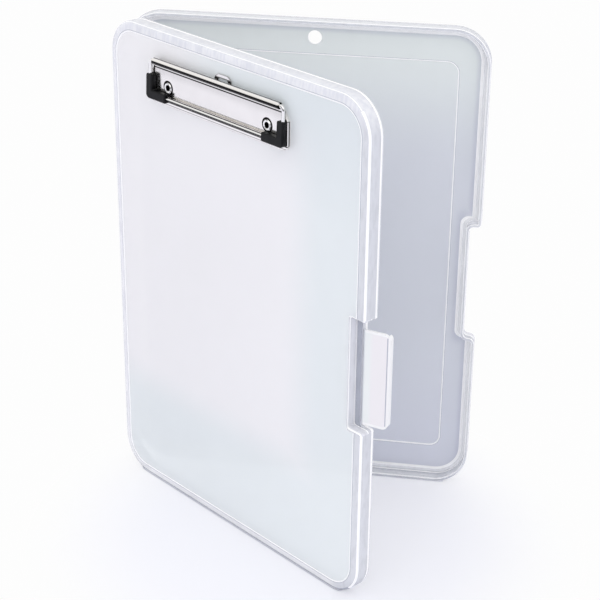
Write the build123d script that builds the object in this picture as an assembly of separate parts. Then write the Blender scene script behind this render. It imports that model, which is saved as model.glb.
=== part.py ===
from build123d import *
import copy
import math
import os

# Clear storage clipboard box: two shallow plastic halves joined along a spine, with a sprung wire
# clip riveted to the cover and a hooked latch flap in a notch of the free edge. All in millimetres.
#
# Every piece is drawn with the box closed and lying on its back: X runs across the width from the
# spine, Y up the height, and Z out of the parting plane, the cover above it and the back half below.
# The finished pieces are then opened, stood up on their lower edges and centred on the origin.

# ---- driving dimensions ---------------------------------------------------------------------------
WIDTH = 240.0
HEIGHT = 333.0
HALF_DEPTH = 11.7            # parting plane to the outside face of either half
CORNER_R = 24.0
WALL = 2.1
PANEL = 2.2
RIM_GAP = 0.4                # between the two rims when the box is shut
OPEN_ANGLE = 38.0            # how far the cover stands open

RIDGE_DROP = 0.8             # how far the bevelled rim band falls from the face to the side wall
BAND = 6.4                   # width of the clear rim band round each face
RIDGE_SOFT = 1.2             # the ridge is rounded off over this width
FACE_RECESS = 0.25           # the frosted face lies this much below the rim band
INNER_BEVEL = 3.3            # the cavity's wall leans in to its floor over this width
INNER_BEVEL_RISE = 1.0
NOTCH_BEVEL = (3.2, 1.5)     # the same lean at a notch's wall and at its shoulders

NOTCH_DEPTH = 7.8
NOTCH_ROOT_R = 3.2
COVER_NOTCH = (123.0, 197.0)         # lower and upper shoulder heights
COVER_SHOULDER_R = (1.8, 1.8)
BACK_NOTCH = (116.3, 198.6)
BACK_SHOULDER_R = (4.3, 2.4)
RECESS_DEPTH = 12.3          # above the latch's ledge the cover's notch widens to this
RECESS_LEAD = 1.5            # and its two ends open out by this much towards the face
RECESS_LEAD_RISE = 1.8
RECESS_R = 1.5
LEDGE_Z = 4.6

PAPER_STEP = 0.4             # shallow inset rectangle in the back half's floor
PAPER_STEP_SIDE = 20.5
PAPER_STEP_END = 24.0
PAPER_STEP_R = 8.0

HANG_HOLE_R = 4.6
HANG_HOLE_X = 124.8
HANG_HOLE_Y = 319.9

SPINE_AXIS_OFFSET = 0.6      # hinge line outside the spine walls
SPINE_WEB_T = 0.4
SPINE_WEB_R = 0.78

LATCH_AXIS_OUT = 1.15        # hinge line out from the notch wall
LATCH_AXIS_Z = 3.5
LATCH_T = 1.5
LATCH_LOW = 125.0
LATCH_HIGH = 189.0
LATCH_OPEN_ANGLE = 70.6
LATCH_HOOK_GAP = 0.3         # hook to back face when latched
LATCH_HOOK_T = 1.4
LATCH_HOOK_REACH = 2.9       # hook past the flap's inner side
LATCH_HOOK_R = 2.4
LATCH_CORNER_R = 4.0         # the flap's free corners
LATCH_HEEL_R = 1.2
LATCH_WEB_T = 0.5

CLIP_X = 109.8               # middle of the clip across the cover
PLATE_HALF_W = 65.2
PLATE_LOW = 286.4
PLATE_SHOULDER_Y = 305.0
PLATE_CORNER_R = 4.5
SHEET = 0.8
PLATE_STAND = 1.45           # underside of the plate above the cover's face
ROLL_Y = 314.0
ROLL_HALF_L = 59.5
WIRE_R = 1.2
ROLL_CLEAR = 0.08
ROLL_SWEEP_ANGLE = 306.0
BAIL_HALF_W = 62.8
BAIL_BAR_Y = 292.2
BAIL_BAR_RISE = 1.0          # the bar stands this much further out than the roll's axis
BAIL_TOP_R = 2.6
BAIL_LOW_R = 3.4
BAIL_END_X = 5.0             # the wire's two ends stop this far from the middle of the roll

GRIP_HALF_SPAN = 64.9        # middle of the clip to either grip's outer side
GRIP_W = 5.8
GRIP_UNDER = 1.4             # grip below and above the wire's middle
GRIP_OVER = 2.2
GRIP_TOP_Y = 305.3
GRIP_REACH = 19.2            # along the bar, from the grip's outer side
GRIP_OUTER_R = 3.0
GRIP_EDGE = 0.7
GRIP_FIT = 0.03              # groove walls to the wire

RIVET_PITCH = 94.0
RIVET_Y = 298.8
RIVET_SHANK_R = 2.4
RIVET_BORE_R = 1.9
RIVET_HEAD_R = 3.5
RIVET_HOLE_R = 2.5
DIMPLE_R = 4.6
WASHER_R = 4.8
WASHER_T = 0.6

TAB_X = 115.0
TAB_W = 16.0
TAB_TOP = 319.3
TAB_BOTTOM = 287.5
TAB_EAR_W = 21.0
TAB_EAR_H = 9.0
TAB_T = 0.6
TAB_LIFT = 0.55              # underside of the tab above the cover's face
TAB_SLOT_W = 10.0
TAB_SLOT_H = 4.6
TAB_TRAVEL = 10.7
GUIDE_W = 1.2
GUIDE_H = 4.2

# ---- derived levels -------------------------------------------------------------------------------
NOTCH_X = WIDTH - NOTCH_DEPTH
FACE_Z = HALF_DEPTH - FACE_RECESS
FLOOR_Z = HALF_DEPTH - PANEL
PLATE_UNDER_Z = FACE_Z + PLATE_STAND
PLATE_TOP_Z = PLATE_UNDER_Z + SHEET
ROLL_INNER_R = WIRE_R + ROLL_CLEAR
ROLL_OUTER_R = ROLL_INNER_R + SHEET
ROLL_Z = PLATE_UNDER_Z + ROLL_OUTER_R
LATCH_AXIS_X = NOTCH_X + LATCH_AXIS_OUT
RIVETS_X = (CLIP_X - RIVET_PITCH / 2, CLIP_X + RIVET_PITCH / 2)
CUT = 50.0                   # longer than any piece is thick


# ---- outlines -------------------------------------------------------------------------------------
def plain_outline(inset):
    """The rounded rectangle of a half without its notch, drawn in by inset all round."""
    corner = CORNER_R - inset
    return FilletPolyline((inset, inset), (WIDTH - inset, inset), (WIDTH - inset, HEIGHT - inset),
                          (inset, HEIGHT - inset), radius=corner, close=True)


def half_outline(inset, notch, shoulder_r, root_r, depth=NOTCH_DEPTH):
    """The same with a notch in the free side."""
    x0, x1 = inset, WIDTH - inset
    y0, y1 = inset, HEIGHT - inset
    notch_x = WIDTH - depth - inset
    low, high = notch[0] - inset, notch[1] + inset
    corner = CORNER_R - inset
    points = [(x0, y0), (x1, y0), (x1, low), (notch_x, low),
              (notch_x, high), (x1, high), (x1, y1), (x0, y1)]
    radii = [corner, corner, shoulder_r[0], root_r, root_r, shoulder_r[1], corner, corner]
    return FilletPolyline(*points, radius=radii, close=True)


def recess_plan(lead):
    """The recess above the latch's ledge, open towards the free side, its ends grown by lead."""
    wall_x, low, high = WIDTH - RECESS_DEPTH, COVER_NOTCH[0] - lead, COVER_NOTCH[1] + lead
    return FilletPolyline((wall_x, low), (WIDTH + 5, low), (WIDTH + 5, high), (wall_x, high),
                          radius=[RECESS_R, 0, 0, RECESS_R], close=True)


def flat_face(line, z):
    return Pos(0, 0, z) * make_face(line.edges())


def slab(line, z_from, z_to):
    """A prism of the outline between two levels."""
    return extrude(flat_face(line, z_from), z_to - z_from, dir=(0, 0, 1))


def bevelled(line_low, z_low, line_high, z_high):
    """A ruled solid between two outlines with matching corners."""
    return loft([flat_face(line_low, z_low), flat_face(line_high, z_high)], ruled=True)


# ---- the two halves -------------------------------------------------------------------------------
def domed_block(outline_at):
    """Side wall, softened ridge and rim band of a half, solid, with its face sunk a little."""
    ridge_z = HALF_DEPTH - RIDGE_DROP
    line, z = outline_at(0), ridge_z - RIDGE_SOFT
    body = slab(line, RIM_GAP / 2, z)
    for inset, rise in ((0.3 * RIDGE_SOFT, -0.3 * RIDGE_SOFT),
                        (RIDGE_SOFT, RIDGE_DROP * RIDGE_SOFT / BAND), (BAND, RIDGE_DROP)):
        next_line = outline_at(inset)
        body += bevelled(line, z, next_line, ridge_z + rise)
        line, z = next_line, ridge_z + rise
    return body - slab(line, FACE_Z, HALF_DEPTH + 1)


def tray_space(notch, shoulder_r, root_r, depth, from_z):
    """The room inside a half from a level up to its floor, one wall's thickness clear of the outside."""
    inner_r = [max(r - WALL, 0.5) for r in shoulder_r]
    wall_inside = half_outline(WALL, notch, inner_r, root_r + WALL, depth)
    less_wall, less_end = (INNER_BEVEL - width for width in NOTCH_BEVEL)
    floor_line = half_outline(WALL + INNER_BEVEL, (notch[0] + less_end, notch[1] - less_end),
                              (0.6, 0.6), 4.5, depth - less_wall)
    bevel_z = FLOOR_Z - INNER_BEVEL_RISE
    return slab(wall_inside, from_z, bevel_z) + bevelled(wall_inside, bevel_z, floor_line, FLOOR_Z)


def make_cover_shell():
    """Its notch is stepped: a recess in the face, and a ledge that bears the latch's hinge."""
    shell = domed_block(plain_outline)
    shell &= slab(half_outline(0, COVER_NOTCH, COVER_SHOULDER_R, NOTCH_ROOT_R), 0, HALF_DEPTH)
    shell -= slab(recess_plan(0), LEDGE_Z, CUT)
    shell -= bevelled(recess_plan(0), HALF_DEPTH - RECESS_LEAD_RISE,
                      recess_plan(RECESS_LEAD), HALF_DEPTH)
    rim_line = half_outline(WALL, COVER_NOTCH, (0.5, 0.5), NOTCH_ROOT_R + WALL)
    shell -= slab(rim_line, -1, LEDGE_Z - WALL)
    shell -= tray_space(COVER_NOTCH, COVER_SHOULDER_R, RECESS_R, RECESS_DEPTH, LEDGE_Z - WALL)
    for x in RIVETS_X:
        shell -= Pos(x, RIVET_Y, FLOOR_Z) * Cylinder(RIVET_HOLE_R, CUT)
    return shell


def make_back_shell():
    """Its notch runs straight through, with the rim band led round it."""
    def outline_at(inset):
        rounds = [max(r - inset, 1.0) for r in BACK_SHOULDER_R] if inset else BACK_SHOULDER_R
        return half_outline(inset, BACK_NOTCH, rounds, min(NOTCH_ROOT_R + inset, 4.0))
    shell = domed_block(outline_at)
    shell -= tray_space(BACK_NOTCH, BACK_SHOULDER_R, NOTCH_ROOT_R, NOTCH_DEPTH, -1)
    step = RectangleRounded(WIDTH - 2 * PAPER_STEP_SIDE, HEIGHT - 2 * PAPER_STEP_END, PAPER_STEP_R)
    shell -= Pos(WIDTH / 2, HEIGHT / 2, FLOOR_Z - 1) * extrude(step, PAPER_STEP + 1)
    shell -= Pos(HANG_HOLE_X, HANG_HOLE_Y, FLOOR_Z) * Cylinder(HANG_HOLE_R, CUT)
    return mirror(shell, Plane.XY)


def make_spine_web(back):
    """The thin bent strip round the hinge line, standing, joined to the back half's spine wall."""
    inner, outer = SPINE_WEB_R - SPINE_WEB_T / 2, SPINE_WEB_R + SPINE_WEB_T / 2
    wall_angle = math.degrees(math.acos(SPINE_AXIS_OFFSET / outer))
    cover_side = 360 - OPEN_ANGLE - wall_angle - 3
    strip = extrude(ring_sector(inner, outer, wall_angle - 15, cover_side), HEIGHT - 2 * CORNER_R)
    return Pos(-SPINE_AXIS_OFFSET, 0, CORNER_R) * strip - back


def ring_sector(inner_r, outer_r, start_angle, end_angle):
    """A flat part ring between two angles, in degrees from +X."""
    def at(radius, angle):
        a = math.radians(angle)
        return (radius * math.cos(a), radius * math.sin(a))
    middle = (start_angle + end_angle) / 2
    edges = [
        ThreePointArc(at(outer_r, start_angle), at(outer_r, middle), at(outer_r, end_angle)),
        Line(at(outer_r, end_angle), at(inner_r, end_angle)),
        ThreePointArc(at(inner_r, end_angle), at(inner_r, middle), at(inner_r, start_angle)),
        Line(at(inner_r, start_angle), at(outer_r, start_angle)),
    ]
    return make_face(edges)


# ---- latch ----------------------------------------------------------------------------------------
def make_latch_flap():
    """The hooked flap, drawn latched: it hangs from its hinge line past the back half's face."""
    hook_z = -(HALF_DEPTH + LATCH_HOOK_GAP)
    end_z = hook_z - LATCH_HOOK_T
    inner_x = LATCH_AXIS_X - LATCH_T / 2
    outer_x = LATCH_AXIS_X + LATCH_T / 2
    tip_x = inner_x - LATCH_HOOK_REACH
    length = LATCH_HIGH - LATCH_LOW
    middle_y = (LATCH_LOW + LATCH_HIGH) / 2
    plate = Pos(LATCH_AXIS_X, middle_y, (LATCH_AXIS_Z + end_z) / 2) * Box(
        LATCH_T, length, LATCH_AXIS_Z - end_z)
    bead = Pos(LATCH_AXIS_X, middle_y, LATCH_AXIS_Z) * Rot(90, 0, 0) * Cylinder(LATCH_T / 2, length)
    hook_plan = FilletPolyline(
        (outer_x, LATCH_LOW), (outer_x, LATCH_HIGH), (tip_x, LATCH_HIGH), (tip_x, LATCH_LOW),
        radius=[0, 0, LATCH_HOOK_R, LATCH_HOOK_R], close=True)
    flap = plate + bead + slab(hook_plan, end_z, hook_z)
    heel = [e for e in flap.edges().filter_by(Axis.Y)
            if abs(e.center().X - outer_x) < 0.01 and abs(e.center().Z - end_z) < 0.01]
    flap = fillet(heel, LATCH_HEEL_R)
    side_view = FilletPolyline(
        (LATCH_LOW, CUT), (LATCH_LOW, end_z), (LATCH_HIGH, end_z), (LATCH_HIGH, CUT),
        radius=[0, LATCH_CORNER_R, LATCH_CORNER_R, 0], close=True)
    return flap & extrude(Plane.YZ * make_face(side_view.edges()), 2 * WIDTH)


def make_latch_web():
    """The thin strip that joins the flap to the cover's notch wall."""
    reach = LATCH_AXIS_OUT - LATCH_T / 2 - 0.03
    length = LATCH_HIGH - LATCH_LOW - 2.0
    return Pos(NOTCH_X + reach / 2, (LATCH_LOW + LATCH_HIGH) / 2, LATCH_AXIS_Z) * Box(
        reach, length, LATCH_WEB_T)


# ---- clip -----------------------------------------------------------------------------------------
def plate_outline(inset):
    half = PLATE_HALF_W - inset
    shoulder = PLATE_SHOULDER_Y - inset / 2
    top = ROLL_HALF_L - inset
    points = [(-half, PLATE_LOW + inset), (half, PLATE_LOW + inset), (half, shoulder),
              (top, ROLL_Y - 1.0), (top, ROLL_Y), (-top, ROLL_Y), (-top, ROLL_Y - 1.0),
              (-half, shoulder)]
    corner = PLATE_CORNER_R - inset
    return FilletPolyline(*points, radius=[corner, corner, 2.0, 0.4, 0, 0, 0.4, 2.0], close=True)


def make_base_plate():
    """Pressed pan with a top edge rolled round the wire, drawn about the clip's middle."""
    plate = slab(plate_outline(0), FACE_Z, PLATE_TOP_Z)
    top_edges = [e for e in plate.edges() if abs(e.center().Z - PLATE_TOP_Z) < 1e-4
                 and e.center().Y < ROLL_Y - 0.2]
    plate = chamfer(top_edges, SHEET * 0.5)
    hollow = slab(plate_outline(SHEET), FACE_Z - 1, PLATE_UNDER_Z)
    hollow += Pos(0, ROLL_Y, PLATE_UNDER_Z - 5) * Box(
        2 * (ROLL_HALF_L - SHEET), 4 * SHEET, 10)
    plate -= hollow

    # the rolled tube, open along the line where the sheet's edge ends
    curl = ring_sector(ROLL_INNER_R, ROLL_OUTER_R, -90, ROLL_SWEEP_ANGLE - 90)
    tube = extrude(curl, 2 * ROLL_HALF_L)
    along_x = Plane(origin=(-ROLL_HALF_L, ROLL_Y, ROLL_Z), x_dir=(0, 1, 0), z_dir=(1, 0, 0))
    plate += along_x * tube

    for side in (-1, 1):
        seat = Pos(side * RIVET_PITCH / 2, RIVET_Y, FACE_Z + PLATE_STAND / 2) * Cylinder(
            DIMPLE_R, PLATE_STAND)
        plate += seat
        ring = ring_groove(RIVET_HEAD_R + 0.2, DIMPLE_R, 0.35)
        plate -= Pos(side * RIVET_PITCH / 2, RIVET_Y, PLATE_TOP_Z) * ring
        plate -= Pos(side * RIVET_PITCH / 2, RIVET_Y, FACE_Z) * Cylinder(RIVET_HOLE_R, 4 * PLATE_STAND)
        guide_x = TAB_X - CLIP_X + side * (TAB_W / 2 + 0.3 + GUIDE_W / 2)
        guide_y = TAB_BOTTOM + TAB_EAR_H + TAB_TRAVEL + 0.3 + GUIDE_H / 2
        plate += Pos(guide_x, guide_y, FACE_Z + PLATE_STAND / 2) * Box(GUIDE_W, GUIDE_H, PLATE_STAND)
    return Pos(CLIP_X, 0, 0) * plate


def ring_groove(inner_r, outer_r, depth):
    """A V-bottomed ring, to be cut from the surface at Z = 0."""
    middle = (inner_r + outer_r) / 2
    section = make_face(Polyline((inner_r, 0.2), (outer_r, 0.2), (outer_r, 0), (middle, -depth),
                                 (inner_r, 0), close=True))
    return revolve(Plane.XZ * section, Axis.Z)


def bail_plane():
    """Runs through the roll's axis and leans out so that the bar clears the plate."""
    lean = math.degrees(math.atan2(BAIL_BAR_RISE, ROLL_Y - BAIL_BAR_Y))
    return Plane(origin=(CLIP_X, ROLL_Y, ROLL_Z)) * Rot(-lean, 0, 0)


def make_bail_wire():
    """One bent spring wire: both ends lie in the roll, and the bar closes the loop below."""
    drop = BAIL_BAR_Y - ROLL_Y
    path = FilletPolyline(
        (-BAIL_END_X, 0), (-BAIL_HALF_W, 0), (-BAIL_HALF_W, drop), (BAIL_HALF_W, drop),
        (BAIL_HALF_W, 0), (BAIL_END_X, 0),
        radius=[BAIL_TOP_R, BAIL_LOW_R, BAIL_LOW_R, BAIL_TOP_R])
    start = Plane(origin=(-BAIL_END_X, 0, 0), z_dir=(-1, 0, 0))
    wire = sweep(start * Circle(WIRE_R), path=path)
    return bail_plane() * wire


def make_grip(side):
    """Soft moulded corner whose groove sits on the wire: side -1 by the spine, 1 by the free edge."""
    drop = BAIL_BAR_Y - ROLL_Y
    outer = side * GRIP_HALF_SPAN
    inner = side * (GRIP_HALF_SPAN - GRIP_W)
    end = outer - side * GRIP_REACH
    top = GRIP_TOP_Y - ROLL_Y
    low = drop - GRIP_W / 2
    shelf = drop + GRIP_W / 2
    outline = FilletPolyline(
        (outer, top), (outer, low), (end, low), (end, shelf), (inner, shelf), (inner, top),
        radius=[0.9, GRIP_OUTER_R, 0.9, 0.9, 0.9, 0.9], close=True)
    grip = slab(outline, -GRIP_UNDER, GRIP_OVER)
    grip = chamfer([e for e in grip.edges() if abs(e.center().Z - GRIP_OVER) < 1e-4], GRIP_EDGE)
    half = WIRE_R + GRIP_FIT
    near, far = side * (BAIL_HALF_W - half), side * (BAIL_HALF_W + half)
    groove = FilletPolyline(
        (far, top + 1), (far, drop - half), (end - side, drop - half), (end - side, drop + half),
        (near, drop + half), (near, top + 1),
        radius=[0, BAIL_LOW_R + half, 0, 0, BAIL_LOW_R - half, 0], close=True)
    return bail_plane() * (grip - slab(groove, -GRIP_UNDER - 1, half))


def make_rivets():
    """Two hollow rivets: domed head on the plate, shank through the cover, rolled end inside."""
    washer_z = FLOOR_Z - WASHER_T
    r0, r1, r2 = RIVET_BORE_R, RIVET_SHANK_R, RIVET_HEAD_R
    profile = [
        (r0, washer_z - 0.7), (r2 - 0.4, washer_z - 0.6), (r2 - 0.2, washer_z), (r1, washer_z),
        (r1, PLATE_TOP_Z), (r2, PLATE_TOP_Z), (r2 - 0.5, PLATE_TOP_Z + 0.7), (r0, PLATE_TOP_Z + 0.4)]
    rivet = revolve(Plane.XZ * make_face(Polyline(*profile, close=True)), Axis.Z)
    return Compound(children=[Pos(x, RIVET_Y, 0) * rivet for x in RIVETS_X])


def make_washers():
    """Two washers that spread the rivets' load on the inside of the cover."""
    ring = Cylinder(WASHER_R, WASHER_T) - Cylinder(RIVET_HOLE_R, WASHER_T)
    return Compound(children=[Pos(x, RIVET_Y, FLOOR_Z - WASHER_T / 2) * ring for x in RIVETS_X])


def make_hang_tab():
    """Thin slotted tab that slides up from behind the plate, just clear of the rim band."""
    half, ear = TAB_W / 2, TAB_EAR_W / 2
    ear_top = TAB_BOTTOM + TAB_EAR_H
    outline = FilletPolyline(
        (-ear, TAB_BOTTOM), (ear, TAB_BOTTOM), (ear, ear_top), (half, ear_top),
        (half, TAB_TOP), (-half, TAB_TOP), (-half, ear_top), (-ear, ear_top),
        radius=[0.8, 0.8, 0.5, 0.3, 4.5, 4.5, 0.3, 0.5], close=True)
    tab = slab(outline, 0, TAB_T)
    slot = extrude(SlotOverall(TAB_SLOT_W, TAB_SLOT_H), CUT, both=True)
    tab -= Pos(0, TAB_TOP - 2.3 - TAB_SLOT_H / 2, 0) * slot
    return Pos(TAB_X, 0, FACE_Z + TAB_LIFT) * tab


# ---- opening and standing up ----------------------------------------------------------------------
def stand_up(shape):
    """Local Y becomes up, and the closed cover faces -Y."""
    return Rot(90, 0, 0) * shape


def turned(shape, axis_x, axis_y, angle):
    """Turn about a vertical line."""
    return Pos(axis_x, axis_y, 0) * (Rot(0, 0, angle) * (Pos(-axis_x, -axis_y, 0) * shape))


def open_cover(shape):
    return turned(shape, -SPINE_AXIS_OFFSET, 0, -OPEN_ANGLE)


def build_nodes():
    back = stand_up(make_back_shell())
    cover = open_cover(stand_up(make_cover_shell()))
    flap = turned(stand_up(make_latch_flap()), LATCH_AXIS_X, -LATCH_AXIS_Z, -LATCH_OPEN_ANGLE)
    on_cover = {
        "latch_web": make_latch_web(),
        "clip_base_plate": make_base_plate(),
        "clip_bail_wire": make_bail_wire(),
        "clip_rivets": make_rivets(),
        "rivet_washers": make_washers(),
        "hang_tab": make_hang_tab(),
        "bail_grip_spine_side": make_grip(-1),
        "bail_grip_free_side": make_grip(1),
    }
    nodes = {"back_shell": back, "cover_shell": cover, "latch_flap": open_cover(flap),
             "spine_web": make_spine_web(back)}
    for name, shape in on_cover.items():
        nodes[name] = open_cover(stand_up(shape))
    return nodes


def main():
    os.makedirs("parts", exist_ok=True)
    nodes = build_nodes()
    box = Compound(children=[copy.copy(s) for s in nodes.values()]).bounding_box()
    middle_x = round((box.min.X + box.max.X) / 2, 2)
    middle_y = round((box.min.Y + box.max.Y) / 2, 2)
    for name, shape in nodes.items():
        export_step(Pos(-middle_x, -middle_y, 0) * shape, f"parts/{name}.step")
    print("moved by", -middle_x, -middle_y)


if __name__ == "__main__":
    main()
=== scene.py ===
import math

import bmesh
import bpy
from mathutils import Matrix, Vector


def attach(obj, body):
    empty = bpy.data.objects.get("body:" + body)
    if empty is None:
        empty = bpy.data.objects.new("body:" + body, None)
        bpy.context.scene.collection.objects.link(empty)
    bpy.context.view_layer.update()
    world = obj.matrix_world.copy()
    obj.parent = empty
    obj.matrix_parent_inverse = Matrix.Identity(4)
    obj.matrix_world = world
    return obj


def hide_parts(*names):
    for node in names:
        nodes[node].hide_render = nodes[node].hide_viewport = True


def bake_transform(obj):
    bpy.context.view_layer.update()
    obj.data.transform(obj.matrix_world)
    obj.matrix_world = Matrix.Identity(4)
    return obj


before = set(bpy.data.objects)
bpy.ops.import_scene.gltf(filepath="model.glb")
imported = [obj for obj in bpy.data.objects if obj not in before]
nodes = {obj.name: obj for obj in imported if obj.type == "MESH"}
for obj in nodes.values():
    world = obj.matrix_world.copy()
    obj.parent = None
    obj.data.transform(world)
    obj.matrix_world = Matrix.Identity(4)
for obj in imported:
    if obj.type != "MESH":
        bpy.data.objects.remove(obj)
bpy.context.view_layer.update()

MM = 0.001
OPEN = math.radians(38.0)
HINGE = Vector((-0.11743, 0.07226, 0.0))
UP = Vector((0.0, 0.0, 1.0))
COVER_U = Vector((math.cos(OPEN), -math.sin(OPEN), 0.0))      # across the cover, from the spine
COVER_N = Vector((-math.sin(OPEN), -math.cos(OPEN), 0.0))     # out of the cover's face
FLAP_TURN = math.radians(18.6)
FLAP_U = Vector((math.cos(FLAP_TURN), -math.sin(FLAP_TURN), 0.0))   # out along the flap, from its axis
FLAP_AXIS = Vector((0.06477, -0.074532, 0.0))
BACK_U = Vector((1.0, 0.0, 0.0))
BACK_N = Vector((0.0, 1.0, 0.0))

# the two halves, in millimetres, as in the solids
WIDTH, HEIGHT, DEPTH = 240.0, 333.0, 11.7
CORNER_R = 24.0
SPINE_OFFSET = 0.6
WALL, BAND = 2.1, 6.4
RIDGE_Z, FACE_Z, FLOOR_Z = 10.9, 11.45, 9.5
NOTCH_X, NOTCH_ROOT_R = 232.2, 3.2
LEAN, NOTCH_LEAN = 3.3, (3.2, 1.5)       # the inner wall's lean: all round, at a notch's wall and ends
RECESS_X, RECESS_R, RECESS_LEAD, LEAD_RISE, LEDGE_Z = 227.7, 1.5, 1.5, 1.8, 4.6
RIVETS = ((62.8, 298.8), (156.8, 298.8))
RIVET_HOLE_R = 2.5
HANG_HOLE = (124.8, 319.9)
HANG_HOLE_R = 4.6

# the clip, in the same millimetres; pairs are (up, out of the cover)
CLIP_MIDDLE = 109.8
ROLL_LINE, ROLL_R = (314.0, 14.98), 2.4
BAR_LINE = (292.2, 15.98)
ARM_SPREAD, ARM_OUT = 62.8, 15.4
TAB_MIDDLE, TAB_SLOT_UP, TAB_SLOT_SPREAD = 115.0, 314.7, 2.7

# material zones of the two halves: the bright zone is a painted highlight, the light zone painted light,
# the dark zone painted shade lines
FROSTED, PAINTED_HIGHLIGHT, CLEAR, PAINTED_SHADE, PAINTED_LIGHT, BEVEL = range(6)
PAINTED_REFLECTION_BLACK = (0.004, 0.004, 0.004, 1)           # painted dark reflection: what the plating mirrors where it is dark


# ---- node helpers ---------------------------------------------------------------------------------
class Nodes:
    """Builds a node tree with short calls."""

    def __init__(self, tree):
        self.tree = tree
        tree.nodes.clear()

    def add(self, kind, **settings):
        node = self.tree.nodes.new(kind)
        for name, value in settings.items():
            setattr(node, name, value)
        return node

    def put(self, value, socket):
        if isinstance(value, bpy.types.NodeSocket):
            self.tree.links.new(value, socket)
        else:
            socket.default_value = value

    def math(self, operation, *values):
        node = self.add("ShaderNodeMath", operation=operation)
        for i, value in enumerate(values):
            self.put(value, node.inputs[i])
        return node.outputs[0]

    def vector(self, operation, *values):
        node = self.add("ShaderNodeVectorMath", operation=operation)
        for i, value in enumerate(values):
            self.put(value, node.inputs[i])
        return node.outputs["Value" if operation in ("DOT_PRODUCT", "LENGTH") else "Vector"]

    def mix(self, factor, a, b):
        node = self.add("ShaderNodeMix", data_type="RGBA")
        colours = [s for s in node.inputs if s.type == "RGBA"]
        self.put(factor, node.inputs[0])
        self.put(a, colours[0])
        self.put(b, colours[1])
        return [s for s in node.outputs if s.type == "RGBA"][0]

    def ramp(self, value, low, high, out_low=0.0, out_high=1.0):
        node = self.add("ShaderNodeMapRange", interpolation_type="SMOOTHSTEP")
        for name, v in (("Value", value), ("From Min", low), ("From Max", high),
                        ("To Min", out_low), ("To Max", out_high)):
            self.put(v, node.inputs[name])
        return node.outputs["Result"]

    def noise(self, at, scale, detail=3.0, roughness=0.5):
        node = self.add("ShaderNodeTexNoise")
        self.put(at, node.inputs["Vector"])
        node.inputs["Scale"].default_value = scale
        node.inputs["Detail"].default_value = detail
        node.inputs["Roughness"].default_value = roughness
        return node.outputs["Fac"]

    def bump(self, height, strength, distance):
        node = self.add("ShaderNodeBump")
        node.inputs["Strength"].default_value = strength
        node.inputs["Distance"].default_value = distance
        self.put(height, node.inputs["Height"])
        return node.outputs["Normal"]

    def crevice(self, reach):
        """0 in the open, towards 1 in tight corners."""
        node = self.add("ShaderNodeAmbientOcclusion", samples=16)
        node.inputs["Distance"].default_value = reach
        return self.math("SUBTRACT", 1.0, node.outputs["AO"])

    def place(self):
        return self.add("ShaderNodeTexCoord").outputs["Object"]

    def on_cover(self):
        """Millimetres across, up and out of the cover, for pieces that ride on it."""
        at = self.vector("SUBTRACT", self.place(), tuple(HINGE))
        along = [self.vector("DOT_PRODUCT", at, tuple(axis / MM)) for axis in (COVER_U, UP, COVER_N)]
        return self.math("SUBTRACT", along[0], SPINE_OFFSET), along[1], along[2]

    def band(self, value, low, high, soft=0.12):
        """1 between two levels, 0 outside, with soft edges."""
        return self.math("MULTIPLY", self.ramp(value, low - soft, low + soft),
                         self.ramp(value, high - soft, high + soft, 1.0, 0.0))

    def both(self, *masks):
        out = masks[0]
        for mask in masks[1:]:
            out = self.math("MULTIPLY", out, mask)
        return out

    def either(self, *masks):
        out = masks[0]
        for mask in masks[1:]:
            out = self.math("MAXIMUM", out, mask)
        return out

    def principled(self, **values):
        node = self.add("ShaderNodeBsdfPrincipled")
        for name, value in values.items():
            self.put(value, node.inputs[name.replace("_", " ")])
        out = self.add("ShaderNodeOutputMaterial")
        self.tree.links.new(node.outputs[0], out.inputs["Surface"])
        return node


def material(name):
    mat = bpy.data.materials.new(name)
    mat.use_nodes = True
    return mat, Nodes(mat.node_tree)


def dress(node_name, *mats):
    """Gives a carried-over node its material."""
    mesh = nodes[node_name].data
    mesh.materials.clear()
    for mat in mats:
        mesh.materials.append(mat)


def shade(colour, k):
    return tuple(c * k for c in colour[:3]) + (1.0,)


# ---- plastics -------------------------------------------------------------------------------------
def frosted_plastic(name, colour, alpha, painted_shading=None):
    """A milky panel with a fine moulded grain and slight clouding; the optional tones add broad painted
    light and shade.
    """
    mat, n = material(name)
    at = n.place()
    grain = n.noise(at, 2400.0, 2.0)
    cloud = n.noise(at, 11.0, 2.0)
    tint = n.mix(n.ramp(cloud, 0.3, 0.7), colour, shade(colour, 0.975))
    if painted_shading:
        tint = painted_shading(n, tint)
    n.principled(
        Base_Color=tint,
        Roughness=n.ramp(grain, 0.3, 0.7, 0.38, 0.52), IOR=1.49,
        Alpha=n.ramp(cloud, 0.25, 0.75, alpha, alpha + 0.04),
        Normal=n.bump(grain, 0.2, 0.0001))
    return mat


def cover_painted_shading(n, tint):
    """Painted light and shade: warmer in the middle, cooler and a little darker towards the free edge,
    the foot and the upper corner, and darker still towards the upper free corner.
    """
    across, up, _ = n.on_cover()
    cool = n.either(n.ramp(across, 165.0, 205.0), n.ramp(up, 95.0, 60.0),
                    n.both(n.ramp(up, 285.0, 315.0), n.ramp(across, 60.0, 120.0)))
    tint = n.mix(cool, tint, (0.875, 0.915, 0.925, 1))
    # painted shade, darker towards the top on the free side
    return n.mix(n.both(n.ramp(up, 240.0, 325.0), n.ramp(across, 110.0, 200.0, 0.0, 0.5)), tint,
                 (0.75, 0.80, 0.83, 1))


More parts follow.
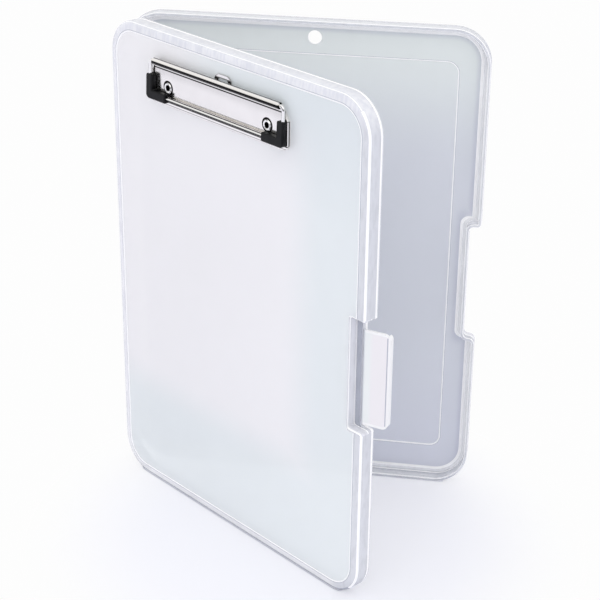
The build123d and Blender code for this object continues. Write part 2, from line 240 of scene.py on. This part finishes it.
def back_painted_shading(n, tint):
    """Painted light and shade: paler and greener at the top, bluer at the foot, with painted shade along
    the walls and beside the notch.
    """
    at = n.vector("SUBTRACT", n.place(), tuple(HINGE))
    across = n.math("SUBTRACT", n.vector("DOT_PRODUCT", at, tuple(BACK_U / MM)), SPINE_OFFSET)
    up = n.vector("DOT_PRODUCT", at, tuple(UP / MM))
    # painted light towards the top, painted shade towards the foot
    tint = n.mix(n.ramp(up, 230.0, 325.0), tint, (0.825, 0.87, 0.86, 1))
    tint = n.mix(n.ramp(up, 130.0, 10.0), tint, (0.705, 0.725, 0.805, 1))
    inset = 6.2
    corner = CORNER_R - inset
    reach = []
    for value, size in ((across, WIDTH), (up, HEIGHT)):
        off = n.math("ABSOLUTE", n.math("SUBTRACT", value, size / 2))
        reach.append(n.math("MAXIMUM", n.math("SUBTRACT", off, size / 2 - inset - corner), 0.0))
    edge = n.math("SQRT", n.math("ADD", *(n.math("MULTIPLY", r, r) for r in reach)))
    # painted shade along the inner walls, weaker near the foot
    border = n.both(n.ramp(edge, corner - 4.5, corner, 0.0, 0.36),
                    n.ramp(up, 6.0, 24.0, 0.3, 1.0))
    # painted shade beside the notch's wall
    notch = n.both(n.band(up, 110.0, 205.0, 5.0), n.ramp(across, 221.0, 227.5, 0.0, 0.4))
    return n.mix(n.either(border, notch), tint, (0.36, 0.38, 0.53, 1))


def flap_painted_shading(n, tint):
    """Painted highlight round the flap's edges, a painted shade line where its heel rounds before the
    hook, painted shade at its root, greener by its hinge.
    """
    at = n.vector("SUBTRACT", n.place(), tuple(FLAP_AXIS))
    out = n.vector("DOT_PRODUCT", at, tuple(FLAP_U / MM))
    up = n.vector("DOT_PRODUCT", at, tuple(UP / MM))
    tint = n.mix(n.ramp(out, 6.5, 2.5, 0.0, 0.8), tint, (0.90, 0.94, 0.93, 1))
    # painted highlight round the flap's edges
    border = n.either(n.ramp(out, 15.7, 15.9), n.ramp(up, 187.3, 187.7), n.ramp(up, 126.9, 126.5))
    heel_shade_line = n.both(n.band(out, 14.9, 15.5, 0.1), n.band(up, 127.5, 186.8))
    # painted shade at the flap's root by its hinge
    root = n.ramp(out, 0.6, -0.2, 0.0, 0.5)
    tint = n.mix(border, tint, (0.995, 0.995, 0.995, 1))
    return n.mix(n.either(heel_shade_line, root), tint, (0.40, 0.42, 0.52, 1))


def cover_rim_painted_light(n, tint, streak):
    """Painted light: paler, with soft bright streaks, on the sides away from the free edge, and palest
    towards the foot.
    """
    across, up, _ = n.on_cover()
    free = n.both(n.ramp(across, 214.0, 226.0), n.ramp(up, 326.0, 310.0))
    pale = n.mix(n.ramp(streak, 0.35, 0.65), (0.94, 0.945, 0.975, 1), (0.83, 0.84, 0.90, 1))
    pale = n.mix(n.ramp(up, 40.0, 12.0), pale, (0.97, 0.975, 0.99, 1))
    return n.mix(free, pale, tint)


def clear_plastic(name, colour, alpha, streaks=0.88, rough=0.06, painted_shading=None):
    """Polished clear plastic with faint moulding waves and streaks; the optional tones add painted
    light.
    """
    mat, n = material(name)
    at = n.place()
    wave = n.noise(at, 45.0, 2.0)
    streak = n.noise(n.vector("MULTIPLY", at, (420.0, 420.0, 110.0)), 1.0, 3.0)
    tint = n.mix(n.ramp(wave, 0.3, 0.7), colour, shade(colour, 1.0 - (1.0 - streaks) / 3))
    tint = n.mix(n.ramp(streak, 0.42, 0.7), tint, shade(colour, streaks))
    n.principled(
        Base_Color=painted_shading(n, tint, streak) if painted_shading else tint,
        Roughness=n.ramp(wave, 0.3, 0.7, rough, rough * 1.6), IOR=1.49,
        Alpha=n.ramp(wave, 0.3, 0.7, alpha, alpha + 0.08),
        Normal=n.bump(wave, 0.06, 0.001))
    return mat


# ---- metal and rubber -----------------------------------------------------------------------------
def plated_metal(name, colour, rough, painted_reflection_at=None):
    """Bright plating with faint drawing marks; the optional mask marks where dark reflections of the
    surroundings are painted into its colour.
    """
    mat, n = material(name)
    at = n.place()
    marks = n.noise(n.vector("MULTIPLY", at, (40.0, 40.0, 1400.0)), 1.0, 3.0)
    cloud = n.noise(at, 90.0, 3.0)
    tint = n.mix(n.ramp(cloud, 0.35, 0.65), colour, shade(colour, 0.965))
    if painted_reflection_at:
        tint = n.mix(painted_reflection_at(n), tint, PAINTED_REFLECTION_BLACK)
    n.principled(Base_Color=tint, Metallic=1.0,
                 Roughness=n.ramp(marks, 0.3, 0.7, rough, rough * 1.8),
                 Normal=n.bump(marks, 0.02, 0.0001))
    return mat


def round_a_line(n, side, out, centre):
    """Distance from a line in the cover's plane, and the angle round it, 0 facing outwards."""
    dv, dn = n.math("SUBTRACT", side, centre[0]), n.math("SUBTRACT", out, centre[1])
    reach = n.math("SQRT", n.math("ADD", n.math("MULTIPLY", dv, dv), n.math("MULTIPLY", dn, dn)))
    return reach, n.math("DEGREES", n.math("ARCTAN2", dv, dn))


def rivet_distance(n, across, up):
    """Distance from the nearer rivet's middle, in the cover's plane."""
    gaps = []
    for x, y in RIVETS:
        dx, dy = n.math("SUBTRACT", across, x), n.math("SUBTRACT", up, y)
        squares = n.math("ADD", n.math("MULTIPLY", dx, dx), n.math("MULTIPLY", dy, dy))
        gaps.append(n.math("SQRT", squares))
    return n.math("MINIMUM", *gaps)


def plate_painted_reflections_and_shade(n):
    """Painted dark reflections and shade under and behind the roll, round the rivets, below the bar and
    on the turned-down sides.
    """
    across, up, out = n.on_cover()
    reach, angle = round_a_line(n, up, out, ROLL_LINE)
    # painted shade and dark reflection in the crease under the roll, and a painted dark reflection on
    # its top
    tube = n.ramp(reach, ROLL_R - 0.1, ROLL_R + 0.1, 1.0, 0.0)
    roll = n.both(tube, n.either(n.band(angle, -120, 17, 3), n.band(angle, 77, 150, 5)))
    # on the flat plate: painted reflections of the roll and the bar as dark lines, and painted shade
    # growing towards the roll
    flat = n.both(n.ramp(out, 13.3, 13.5), n.ramp(reach, 2.2, 2.5))
    lines = n.either(n.band(up, 309.55, 310.4), n.band(up, 289.05, 289.9),
                     n.both(n.band(up, 287.4, 287.85), 0.6))
    soft = n.ramp(up, 303.5, 309.6, 0.0, 0.16)
    # painted shade in the ring round each rivet
    ring = n.band(rivet_distance(n, across, up), 3.5, 4.75, 0.1)
    # painted dark reflection on the lower part of the turned-down sides
    side = n.both(n.either(n.ramp(across, 174.6, 174.9), n.ramp(across, 44.7, 45.0, 1.0, 0.0)),
                  n.band(out, 12.3, 13.2))
    return n.either(roll, n.both(flat, n.either(lines, soft)), ring, side)


def wire_painted_reflections(n):
    """Painted dark reflections on the upper and lower sides of the bar and the flanks of the two arms.
    """
    across, up, out = n.on_cover()
    _, angle = round_a_line(n, up, out, BAR_LINE)
    bar = n.both(n.ramp(up, 293.6, 293.8, 1.0, 0.0),
                 n.either(n.band(angle, 58, 104, 5), n.band(angle, -50, 10, 4)))
    middle = n.math("SUBTRACT", across, CLIP_MIDDLE)
    side = n.math("SUBTRACT", middle, n.math("MULTIPLY", n.math("SIGN", middle), ARM_SPREAD))
    _, turn = round_a_line(n, side, out, (0.0, ARM_OUT))
    arm = n.both(n.ramp(up, 295.0, 296.5), n.ramp(up, 311.6, 312.2, 1.0, 0.0),
                 n.either(n.band(turn, -60, -18, 5), n.band(turn, 108, 150, 5)))
    return n.either(bar, arm)


def rivet_painted_shade(n):
    """Painted shade in the bore and along the outer edge of each head."""
    across, up, _ = n.on_cover()
    reach = rivet_distance(n, across, up)
    return n.either(n.ramp(reach, 1.95, 2.1, 1.0, 0.0), n.ramp(reach, 3.35, 3.5))


def tab_painted_shade(n):
    """Painted shade round the rim of the slot and along the outer edge of the hang tab."""
    across, up, _ = n.on_cover()
    off = n.math("ABSOLUTE", n.math("SUBTRACT", across, TAB_MIDDLE))
    spread = n.math("MAXIMUM", n.math("SUBTRACT", off, TAB_SLOT_SPREAD), 0.0)
    rise = n.math("SUBTRACT", up, TAB_SLOT_UP)
    squares = n.math("ADD", n.math("MULTIPLY", spread, spread), n.math("MULTIPLY", rise, rise))
    reach = n.math("SQRT", squares)
    rim = n.both(n.ramp(reach, 2.7, 3.0, 1.0, 0.0), n.ramp(up, 315.6, 316.6, 1.0, 0.35))
    return n.either(rim, n.ramp(reach, 4.2, 4.5, 0.0, 0.45))


def rubber_material(name):
    """Matt black rubber with fine pores."""
    mat, n = material(name)
    at = n.place()
    pores = n.noise(at, 3000.0, 3.0, 0.6)
    cloud = n.noise(at, 120.0, 2.0)
    tint = n.mix(n.ramp(cloud, 0.3, 0.7), (0.004, 0.004, 0.005, 1), (0.010, 0.010, 0.011, 1))
    n.principled(Base_Color=tint, Roughness=n.ramp(pores, 0.3, 0.7, 0.30, 0.46),
                 Specular_IOR_Level=0.17,
                 Normal=n.bump(pores, 0.25, 0.00008))
    return mat


cover_face = frosted_plastic("cover_frosted", (0.975, 0.965, 0.975, 1), 0.65, cover_painted_shading)
# the back's milky plastic is painted darker and bluer than the cover's, as painted shade inside the open
# case
back_face = frosted_plastic("back_frosted", (0.705, 0.73, 0.79, 1), 0.74, back_painted_shading)
rim_clear = clear_plastic("rim_clear", (0.805, 0.82, 0.87, 1), 0.64,
                          painted_shading=cover_rim_painted_light)
back_rim = clear_plastic("back_rim", (0.75, 0.765, 0.82, 1), 0.54)
back_band = clear_plastic("back_band", (0.90, 0.905, 0.94, 1), 0.32)
# painted highlight for the bright edge lines, painted shade for the dark lines, painted light for the
# notch's walls
painted_highlight_plastic = clear_plastic("painted_edge_highlight", (0.995, 0.995, 0.995, 1), 0.95, 0.98)
painted_shade_lines = clear_plastic("painted_shade_lines", (0.44, 0.46, 0.53, 1), 0.75)
painted_light_walls = clear_plastic("painted_light_walls", (0.90, 0.905, 0.955, 1), 0.7)
flap_plastic = frosted_plastic("flap_milky", (0.93, 0.905, 0.925, 1), 0.8, flap_painted_shading)
web_plastic = clear_plastic("web_plastic", (0.80, 0.81, 0.86, 1), 0.6)
nickel = plated_metal("nickel", (0.90, 0.875, 0.85, 1), 0.12, plate_painted_reflections_and_shade)
wire_nickel = plated_metal("wire_nickel", (0.90, 0.89, 0.875, 1), 0.06, wire_painted_reflections)
rivet_nickel = plated_metal("rivet_nickel", (0.92, 0.91, 0.90, 1), 0.16, rivet_painted_shade)
tab_nickel = plated_metal("tab_nickel", (0.88, 0.86, 0.84, 1), 0.1, tab_painted_shade)
steel = plated_metal("washer_steel", (0.62, 0.63, 0.65, 1), 0.25)
rubber = rubber_material("black_rubber")


# ---- the two halves -------------------------------------------------------------------------------
def arc(centre, radius, start, end, steps):
    return [(centre[0] + radius * math.cos(math.radians(start + (end - start) * i / steps)),
             centre[1] + radius * math.sin(math.radians(start + (end - start) * i / steps)))
            for i in range(steps + 1)]


def outline(inset, notch):
    """The notched rounded rectangle of a half, drawn in by inset, always with the same points."""
    wall, low, high, root, (sl, sh) = notch
    x0, x1, y0, y1 = inset, WIDTH - inset, inset, HEIGHT - inset
    corner = CORNER_R - inset
    root = min(root, x1 - wall - max(sl, sh) - 0.1)
    points = arc((x1 - corner, y0 + corner), corner, -90, 0, 18)
    points += arc((x1 - sl, low - sl), sl, 0, 90, 6)
    points += arc((wall + root, low + root), root, 270, 180, 8)
    points += arc((wall + root, high - root), root, 180, 90, 8)
    points += arc((x1 - sh, high + sh), sh, -90, 0, 6)
    points += arc((x1 - corner, y1 - corner), corner, 0, 90, 18)
    points += arc((x0 + corner, y1 - corner), corner, 90, 180, 18)
    points += arc((x0 + corner, y0 + corner), corner, 180, 270, 18)
    return points


def shoulders(radii, inset):
    return [max(r - inset, 0.25) for r in radii]


def back_notch(inset, depth, inside):
    """Wall, ends and radii of the back half's notch at one row of its section."""
    wall_in, end_in = inset, inset
    if inside and inset > WALL:
        wall_in, end_in = (WALL + (inset - WALL) * lean / LEAN for lean in NOTCH_LEAN)
    return (NOTCH_X - wall_in, 116.3 - end_in, 198.6 + end_in, NOTCH_ROOT_R + min(inset, 2.4),
            shoulders((4.3, 2.4), inset))


def cover_notch(inset, depth, inside):
    """The same for the cover, whose notch is cut deeper above a ledge."""
    radii = shoulders((1.8, 1.8), inset)
    if inside and depth > LEDGE_Z - WALL + 0.02:
        wall_in, end_in = (WALL + (inset - WALL) * lean / LEAN for lean in NOTCH_LEAN)
        return RECESS_X - wall_in, 123.0 - end_in, 197.0 + end_in, RECESS_R + WALL, radii
    if not inside and depth > LEDGE_Z - 0.02:
        beyond = max(inset - BAND, 0.0)
        end_in = max(depth - DEPTH + LEAD_RISE, 0.0) * RECESS_LEAD / LEAD_RISE + beyond
        return RECESS_X - beyond, 123.0 - end_in, 197.0 + end_in, RECESS_R, radii
    return NOTCH_X - inset, 123.0 - inset, 197.0 + inset, NOTCH_ROOT_R + inset, radii


# zones along the ridge's round, each for the top and spine sides, the free side and the foot; the bright
# ones make a painted highlight, the dark one at the foot a painted shade line
RIDGE_ZONES = ((CLEAR, CLEAR, PAINTED_SHADE), (CLEAR, PAINTED_HIGHLIGHT, PAINTED_SHADE), (PAINTED_HIGHLIGHT, PAINTED_HIGHLIGHT, PAINTED_SHADE),
               (CLEAR, PAINTED_HIGHLIGHT, PAINTED_SHADE), (CLEAR, CLEAR, PAINTED_SHADE))


def rounded(path, radii, steps=5):
    """An open path of (inset, depth, zone) with its corners rounded; zone belongs to the run after."""
    out = [path[0]]
    for i in range(1, len(path) - 1):
        a, b, c = (Vector(path[j][:2]) for j in (i - 1, i, i + 1))
        radius = radii[i]
        if radius == 0:
            out.append(path[i])
            continue
        u, w = (a - b).normalized(), (c - b).normalized()
        half = u.angle(w) / 2
        reach = radius / math.tan(half)
        start, end = b + u * reach, b + w * reach
        middle = b + (u + w).normalized() * (radius / math.sin(half))
        turn = (start - middle).angle_signed(end - middle)
        for k in range(steps + 1):
            p = (start - middle).copy()
            p.rotate(Matrix.Rotation(-turn * k / steps, 2))
            p += middle
            if k == steps:
                zone = path[i][2]
            else:
                # small roundings get the painted highlight zone
                zone = PAINTED_HIGHLIGHT if radius < 1.0 else RIDGE_ZONES[k]
            out.append((p.x, p.y, zone))
    out.append(path[-1])
    return out


def circle(centre, radius, steps=40):
    return arc(centre, radius, 0, 360 * (steps - 1) / steps, steps - 1)


def rounded_rectangle(x0, x1, y0, y1, radius):
    return (arc((x1 - radius, y0 + radius), radius, -90, 0, 8)
            + arc((x1 - radius, y1 - radius), radius, 0, 90, 8)
            + arc((x0 + radius, y1 - radius), radius, 90, 180, 8)
            + arc((x0 + radius, y0 + radius), radius, 180, 270, 8))


def half_section(rim_line, rim_side):
    """Rows from the face over the rim to the floor: inset, depth, and the zone up to the next row.

    Three zones stand for the top and spine sides, the free side and the foot.
    """
    # bright rows are painted highlight lines and dark rows painted shade lines
    path = [(BAND + 0.45, FACE_Z, PAINTED_HIGHLIGHT), (BAND + 0.12, FACE_Z, PAINTED_HIGHLIGHT), (BAND - 0.1, DEPTH, PAINTED_HIGHLIGHT),
            (BAND - 0.45, DEPTH - 0.05, PAINTED_SHADE), (BAND - 0.9, DEPTH - 0.11, BEVEL), (0.0, RIDGE_Z, CLEAR),
            (0.0, LEDGE_Z + 0.8, CLEAR), (0.0, LEDGE_Z, CLEAR), (0.0, LEDGE_Z - 0.04, CLEAR),
            (0.0, 2.3, rim_side), (0.0, 0.8, rim_line), (0.0, 0.2, (CLEAR, CLEAR, PAINTED_SHADE)),
            (0.9, 0.2, CLEAR), (WALL, 0.2, (CLEAR, CLEAR, PAINTED_HIGHLIGHT)), (WALL, 1.4, CLEAR),
            (WALL, LEDGE_Z - WALL, CLEAR), (WALL, LEDGE_Z - WALL + 0.04, CLEAR),
            (WALL, FLOOR_Z - 1.0, CLEAR), (WALL + LEAN - 0.7, FLOOR_Z - 0.21, PAINTED_HIGHLIGHT),
            (WALL + LEAN, FLOOR_Z, PAINTED_HIGHLIGHT), (WALL + LEAN + 1.3, FLOOR_Z, FROSTED)]
    return rounded(path, (0, 0.08, 0.08, 0, 0, 2.0, 0, 0, 0, 0, 0, 0.35, 0, 0.35, 0, 0, 0, 0.6, 0, 0, 0))


def notch_zone(depth, next_depth, inset, zone):
    """Round the notch the walls get painted light, the rims and the ledge's edge a painted highlight,
    and the ledge painted shade.
    """
    zone = zone if isinstance(zone, int) else zone[1]
    if zone == FROSTED or inset > WALL:
        return zone
    high = max(depth, next_depth)
    ledge_edge = LEDGE_Z + 0.1 < high < LEDGE_Z + 0.9
    if high > RIDGE_Z - 0.4 or ledge_edge or high < 0.9 and inset < 0.1:
        return PAINTED_HIGHLIGHT
    if high < 2.4:
        return zone
    if high > LEDGE_Z + 0.1:
        return PAINTED_LIGHT
    return PAINTED_SHADE if depth == LEDGE_Z else CLEAR


NOTCH_POINTS = range(19, 50)             # the outline's points round the notch
FREE_POINTS = range(9, 60)               # along the free side
TOP_POINTS = range(60, 98)               # along the top and the spine; the rest is the foot


def side_zone(zone, i):
    """The zone of one face of a row, where a row's zone differs from side to side."""
    if isinstance(zone, int):
        return zone
    return zone[0 if i in TOP_POINTS else 1 if i in FREE_POINTS else 2]


def half_mesh(name, notch_at, holes, step, rim, axes, mats):
    """One half as a closed mesh, its materials in the order of the zones."""
    u_axis, n_axis = axes
    bm = bmesh.new()

    def loop(points, depth):
        return [bm.verts.new(HINGE + (u_axis * (x + SPINE_OFFSET) + n_axis * depth + UP * y) * MM)
                for x, y in points]

    def strip(a, b, zone, at_notch=None):
        for i in range(len(a)):
            j = (i + 1) % len(a)
            face = bm.faces.new((a[i], a[j], b[j], b[i]))
            at_side = at_notch is None or i not in NOTCH_POINTS
            face.material_index = side_zone(zone, i) if at_side else at_notch

    def cap(loops, zone):
        edges = []
        for ring in loops:
            for i in range(len(ring)):
                pair = (ring[i], ring[(i + 1) % len(ring)])
                edges.append(bm.edges.get(pair) or bm.edges.new(pair))
        made = bmesh.ops.triangle_fill(bm, edges=edges, use_beauty=True)
        for item in made["geom"]:
            if isinstance(item, bmesh.types.BMFace):
                item.material_index = zone

    section = half_section(*rim)
    rim_row = min(range(len(section)),
                  key=lambda i: abs(section[i][0] - WALL / 2) + section[i][1])
    loops = [loop(outline(d, notch_at(d, z, i > rim_row)), z) for i, (d, z, _) in enumerate(section)]
    for i in range(len(loops) - 1):
        inset, depth, zone = section[i]
        strip(loops[i], loops[i + 1], zone, notch_zone(depth, section[i + 1][1], inset, zone))
    face_rings, floor_rings = [loops[0]], [loops[-1]]
    for centre, radius in holes:
        top = loop(circle(centre, radius), FACE_Z)
        low = loop(circle(centre, radius), FLOOR_Z)
        # the hole walls get the painted highlight
        strip(top, low, PAINTED_HIGHLIGHT)
        face_rings.append(top)
        floor_rings.append(low)
    cap(face_rings, FROSTED)
    if step:
        side, end, radius, drop = step
        rings = [loop(rounded_rectangle(side + d, WIDTH - side - d, end + d, HEIGHT - end - d,
                                        radius - d), FLOOR_Z + z)
                 for d, z in ((-0.3, 0.0), (0.0, 0.0), (0.65, 0.0), (0.9, drop))]
        # the step's edge gets a painted shade line, then a painted highlight
        for i, zone in enumerate((PAINTED_SHADE, PAINTED_HIGHLIGHT, PAINTED_HIGHLIGHT)):
            strip(rings[i], rings[i + 1], zone)
        floor_rings.append(rings[0])
        cap([rings[-1]], FROSTED)
    cap(floor_rings, FROSTED)
    bmesh.ops.recalc_face_normals(bm, faces=bm.faces)
    mesh = bpy.data.meshes.new(name)
    bm.to_mesh(mesh)
    bm.free()
    for mat in mats:
        mesh.materials.append(mat)
    mesh.polygons.foreach_set("use_smooth", [True] * len(mesh.polygons))
    mesh.set_sharp_from_angle(angle=math.radians(28))
    obj = bpy.data.objects.new(name, mesh)
    bpy.context.scene.collection.objects.link(obj)
    return obj


# the zones' materials: frosted face, painted highlight, clear rim, painted shade lines, painted light on
# the notch's walls, band
cover = half_mesh("cover_half_shell", cover_notch, [(centre, RIVET_HOLE_R) for centre in RIVETS],
                  None, (PAINTED_SHADE, PAINTED_HIGHLIGHT), (COVER_U, COVER_N),
                  (cover_face, painted_highlight_plastic, rim_clear, painted_shade_lines, painted_light_walls, rim_clear))
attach(cover, "cover")
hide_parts("cover_shell")
back = half_mesh("back_half_shell", back_notch, [(HANG_HOLE, HANG_HOLE_R)], (20.5, 24.0, 8.0, 0.4),
                 (PAINTED_HIGHLIGHT, CLEAR), (BACK_U, BACK_N),
                 (back_face, painted_highlight_plastic, back_rim, painted_shade_lines, painted_light_walls, back_band))
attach(back, "back_half")
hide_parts("back_shell")


# ---- carried-over nodes ---------------------------------------------------------------------------
def soften(node_name, width, edge_material=-1, angle=30.0):
    """Rounds a node's sharp edges and may give them their own material slot."""
    obj = nodes[node_name]
    bevel = obj.modifiers.new("edges", "BEVEL")
    bevel.width = width * MM
    bevel.segments = 3
    bevel.limit_method = "ANGLE"
    bevel.angle_limit = math.radians(angle)
    bevel.harden_normals = True
    bevel.material = edge_material


# the flap's rounded edges get the painted highlight
dress("latch_flap", flap_plastic, painted_highlight_plastic)
soften("latch_flap", 0.55, 1)
dress("latch_web", web_plastic)
dress("spine_web", web_plastic)
dress("clip_base_plate", nickel)
dress("clip_bail_wire", wire_nickel)
dress("clip_rivets", rivet_nickel)
dress("hang_tab", tab_nickel)
dress("rivet_washers", steel)
dress("bail_grip_spine_side", rubber)
dress("bail_grip_free_side", rubber)


# ---- spine web ------------------------------------------------------------------------------------
def spine_strip():
    """The living hinge as a thin bent strip that follows both halves."""
    inner, outer, steps = 0.58 * MM, 0.98 * MM, 28
    start, end = math.radians(52.5), math.radians(270.0)
    low, high = 0.024, 0.309
    verts, faces = [], []
    for i in range(steps + 1):
        a = start + (end - start) * i / steps
        for r in (inner, outer):
            for z in (low, high):
                verts.append((HINGE.x + r * math.cos(a), HINGE.y + r * math.sin(a), z))
    for i in range(steps):
        p, q = 4 * i, 4 * (i + 1)
        faces += [(p + 2, p + 3, q + 3, q + 2), (p, q, q + 1, p + 1),
                  (p, p + 2, q + 2, q), (p + 1, q + 1, q + 3, p + 3)]
    last = 4 * steps
    faces += [(0, 1, 3, 2), (last, last + 2, last + 3, last + 1)]
    mesh = bpy.data.meshes.new("spine_strip")
    mesh.from_pydata(verts, [], faces)
    mesh.update()
    mesh.materials.append(web_plastic)
    for poly in mesh.polygons:
        poly.use_smooth = abs(poly.normal.z) < 0.5
    strip = bpy.data.objects.new("spine_strip", mesh)
    bpy.context.scene.collection.objects.link(strip)
    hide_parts("spine_web")
    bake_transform(strip)


spine_strip()


# ---- floor, light and camera ----------------------------------------------------------------------
def add_floor():
    mesh = bpy.data.meshes.new("floor")
    half = 6.0
    mesh.from_pydata([(-half, -half, 0), (half, -half, 0), (half, half, 0), (-half, half, 0)], [],
                     [(0, 1, 2, 3)])
    mat, n = material("floor_white")
    grain = n.noise(n.place(), 900.0, 3.0)
    tint = n.mix(grain, (0.89, 0.895, 0.97, 1), (0.91, 0.91, 0.98, 1))
    # painted shadow where the case meets the floor, from an occlusion mask
    near = n.crevice(0.0016)
    contact = n.both(n.ramp(near, 0.15, 0.5), n.ramp(near, 0.8, 0.6))
    lit = n.add("ShaderNodeBsdfDiffuse")
    n.put(n.mix(contact, tint, (0.68, 0.69, 0.77, 1)), lit.inputs["Color"])
    white = n.add("ShaderNodeEmission")
    white.inputs["Color"].default_value = (0.985, 0.985, 0.985, 1)
    path = n.add("ShaderNodeLightPath")
    seen = n.either(path.outputs["Is Camera Ray"], path.outputs["Is Transmission Ray"])
    away = n.vector("LENGTH", n.vector("SUBTRACT", n.place(), (0.02, -0.01, 0.0)))
    blend = n.add("ShaderNodeMixShader")
    clear = n.math("SUBTRACT", 1.0, contact)
    n.put(n.both(seen, clear, n.ramp(away, 0.09, 0.19, 0.33, 1.0)), blend.inputs[0])
    n.put(lit.outputs[0], blend.inputs[1])
    n.put(white.outputs[0], blend.inputs[2])
    out = n.add("ShaderNodeOutputMaterial")
    n.put(blend.outputs[0], out.inputs["Surface"])
    mesh.materials.append(mat)
    floor = bpy.data.objects.new("floor", mesh)
    bpy.context.scene.collection.objects.link(floor)


def add_world():
    world = bpy.data.worlds.new("studio")
    bpy.context.scene.world = world
    world.use_nodes = True
    n = Nodes(world.node_tree)
    path = n.add("ShaderNodeLightPath")
    split = n.add("ShaderNodeSeparateXYZ")
    n.put(n.add("ShaderNodeTexCoord").outputs["Generated"], split.inputs[0])
    back = n.ramp(split.outputs["Y"], -0.55, 0.1)
    top = n.ramp(split.outputs["Z"], 0.35, 0.75)
    room = n.mix(n.math("MAXIMUM", back, top), (0.16, 0.165, 0.18, 1), (0.985, 0.985, 0.985, 1))
    plain = n.math("MAXIMUM", path.outputs["Is Camera Ray"], path.outputs["Is Transmission Ray"])
    soft = n.mix(plain, (0.97, 0.97, 0.98, 1), (0.985, 0.985, 0.985, 1))
    shader = n.add("ShaderNodeBackground")
    n.put(n.mix(path.outputs["Is Glossy Ray"], soft, room), shader.inputs["Color"])
    shader.inputs["Strength"].default_value = 1.0
    out = n.add("ShaderNodeOutputWorld")
    n.put(shader.outputs[0], out.inputs["Surface"])


def add_sun(name, towards, strength, angle):
    lamp = bpy.data.lights.new(name, "SUN")
    lamp.energy = strength
    lamp.angle = math.radians(angle)
    sun = bpy.data.objects.new(name, lamp)
    sun.rotation_mode = "QUATERNION"
    sun.rotation_quaternion = Vector(towards).to_track_quat("-Z", "Y")
    bpy.context.scene.collection.objects.link(sun)


def add_camera():
    yaw, pitch, roll = -0.159610, 0.437626, 0.011727
    ahead = Vector((math.sin(yaw) * math.cos(pitch), math.cos(yaw) * math.cos(pitch), -math.sin(pitch)))
    level = Vector((math.cos(yaw), -math.sin(yaw), 0.0))
    up = level.cross(ahead)
    right = level * math.cos(roll) + up * math.sin(roll)
    up = up * math.cos(roll) - level * math.sin(roll)
    data = bpy.data.cameras.new("camera")
    data.sensor_width = 36.0
    data.lens = 97.632
    data.clip_start, data.clip_end = 0.05, 50.0
    camera = bpy.data.objects.new("camera", data)
    turn = Matrix((right, up, -ahead)).transposed().to_4x4()
    camera.matrix_world = Matrix.Translation((0.1639843, -0.9359733, 0.6130907)) @ turn
    bpy.context.scene.collection.objects.link(camera)
    bpy.context.scene.camera = camera


add_floor()
add_world()
add_sun("key", (-0.1, 0.8, -0.8), 0.42, 60.0)
add_camera()
bpy.context.scene.view_settings.view_transform = "Standard"
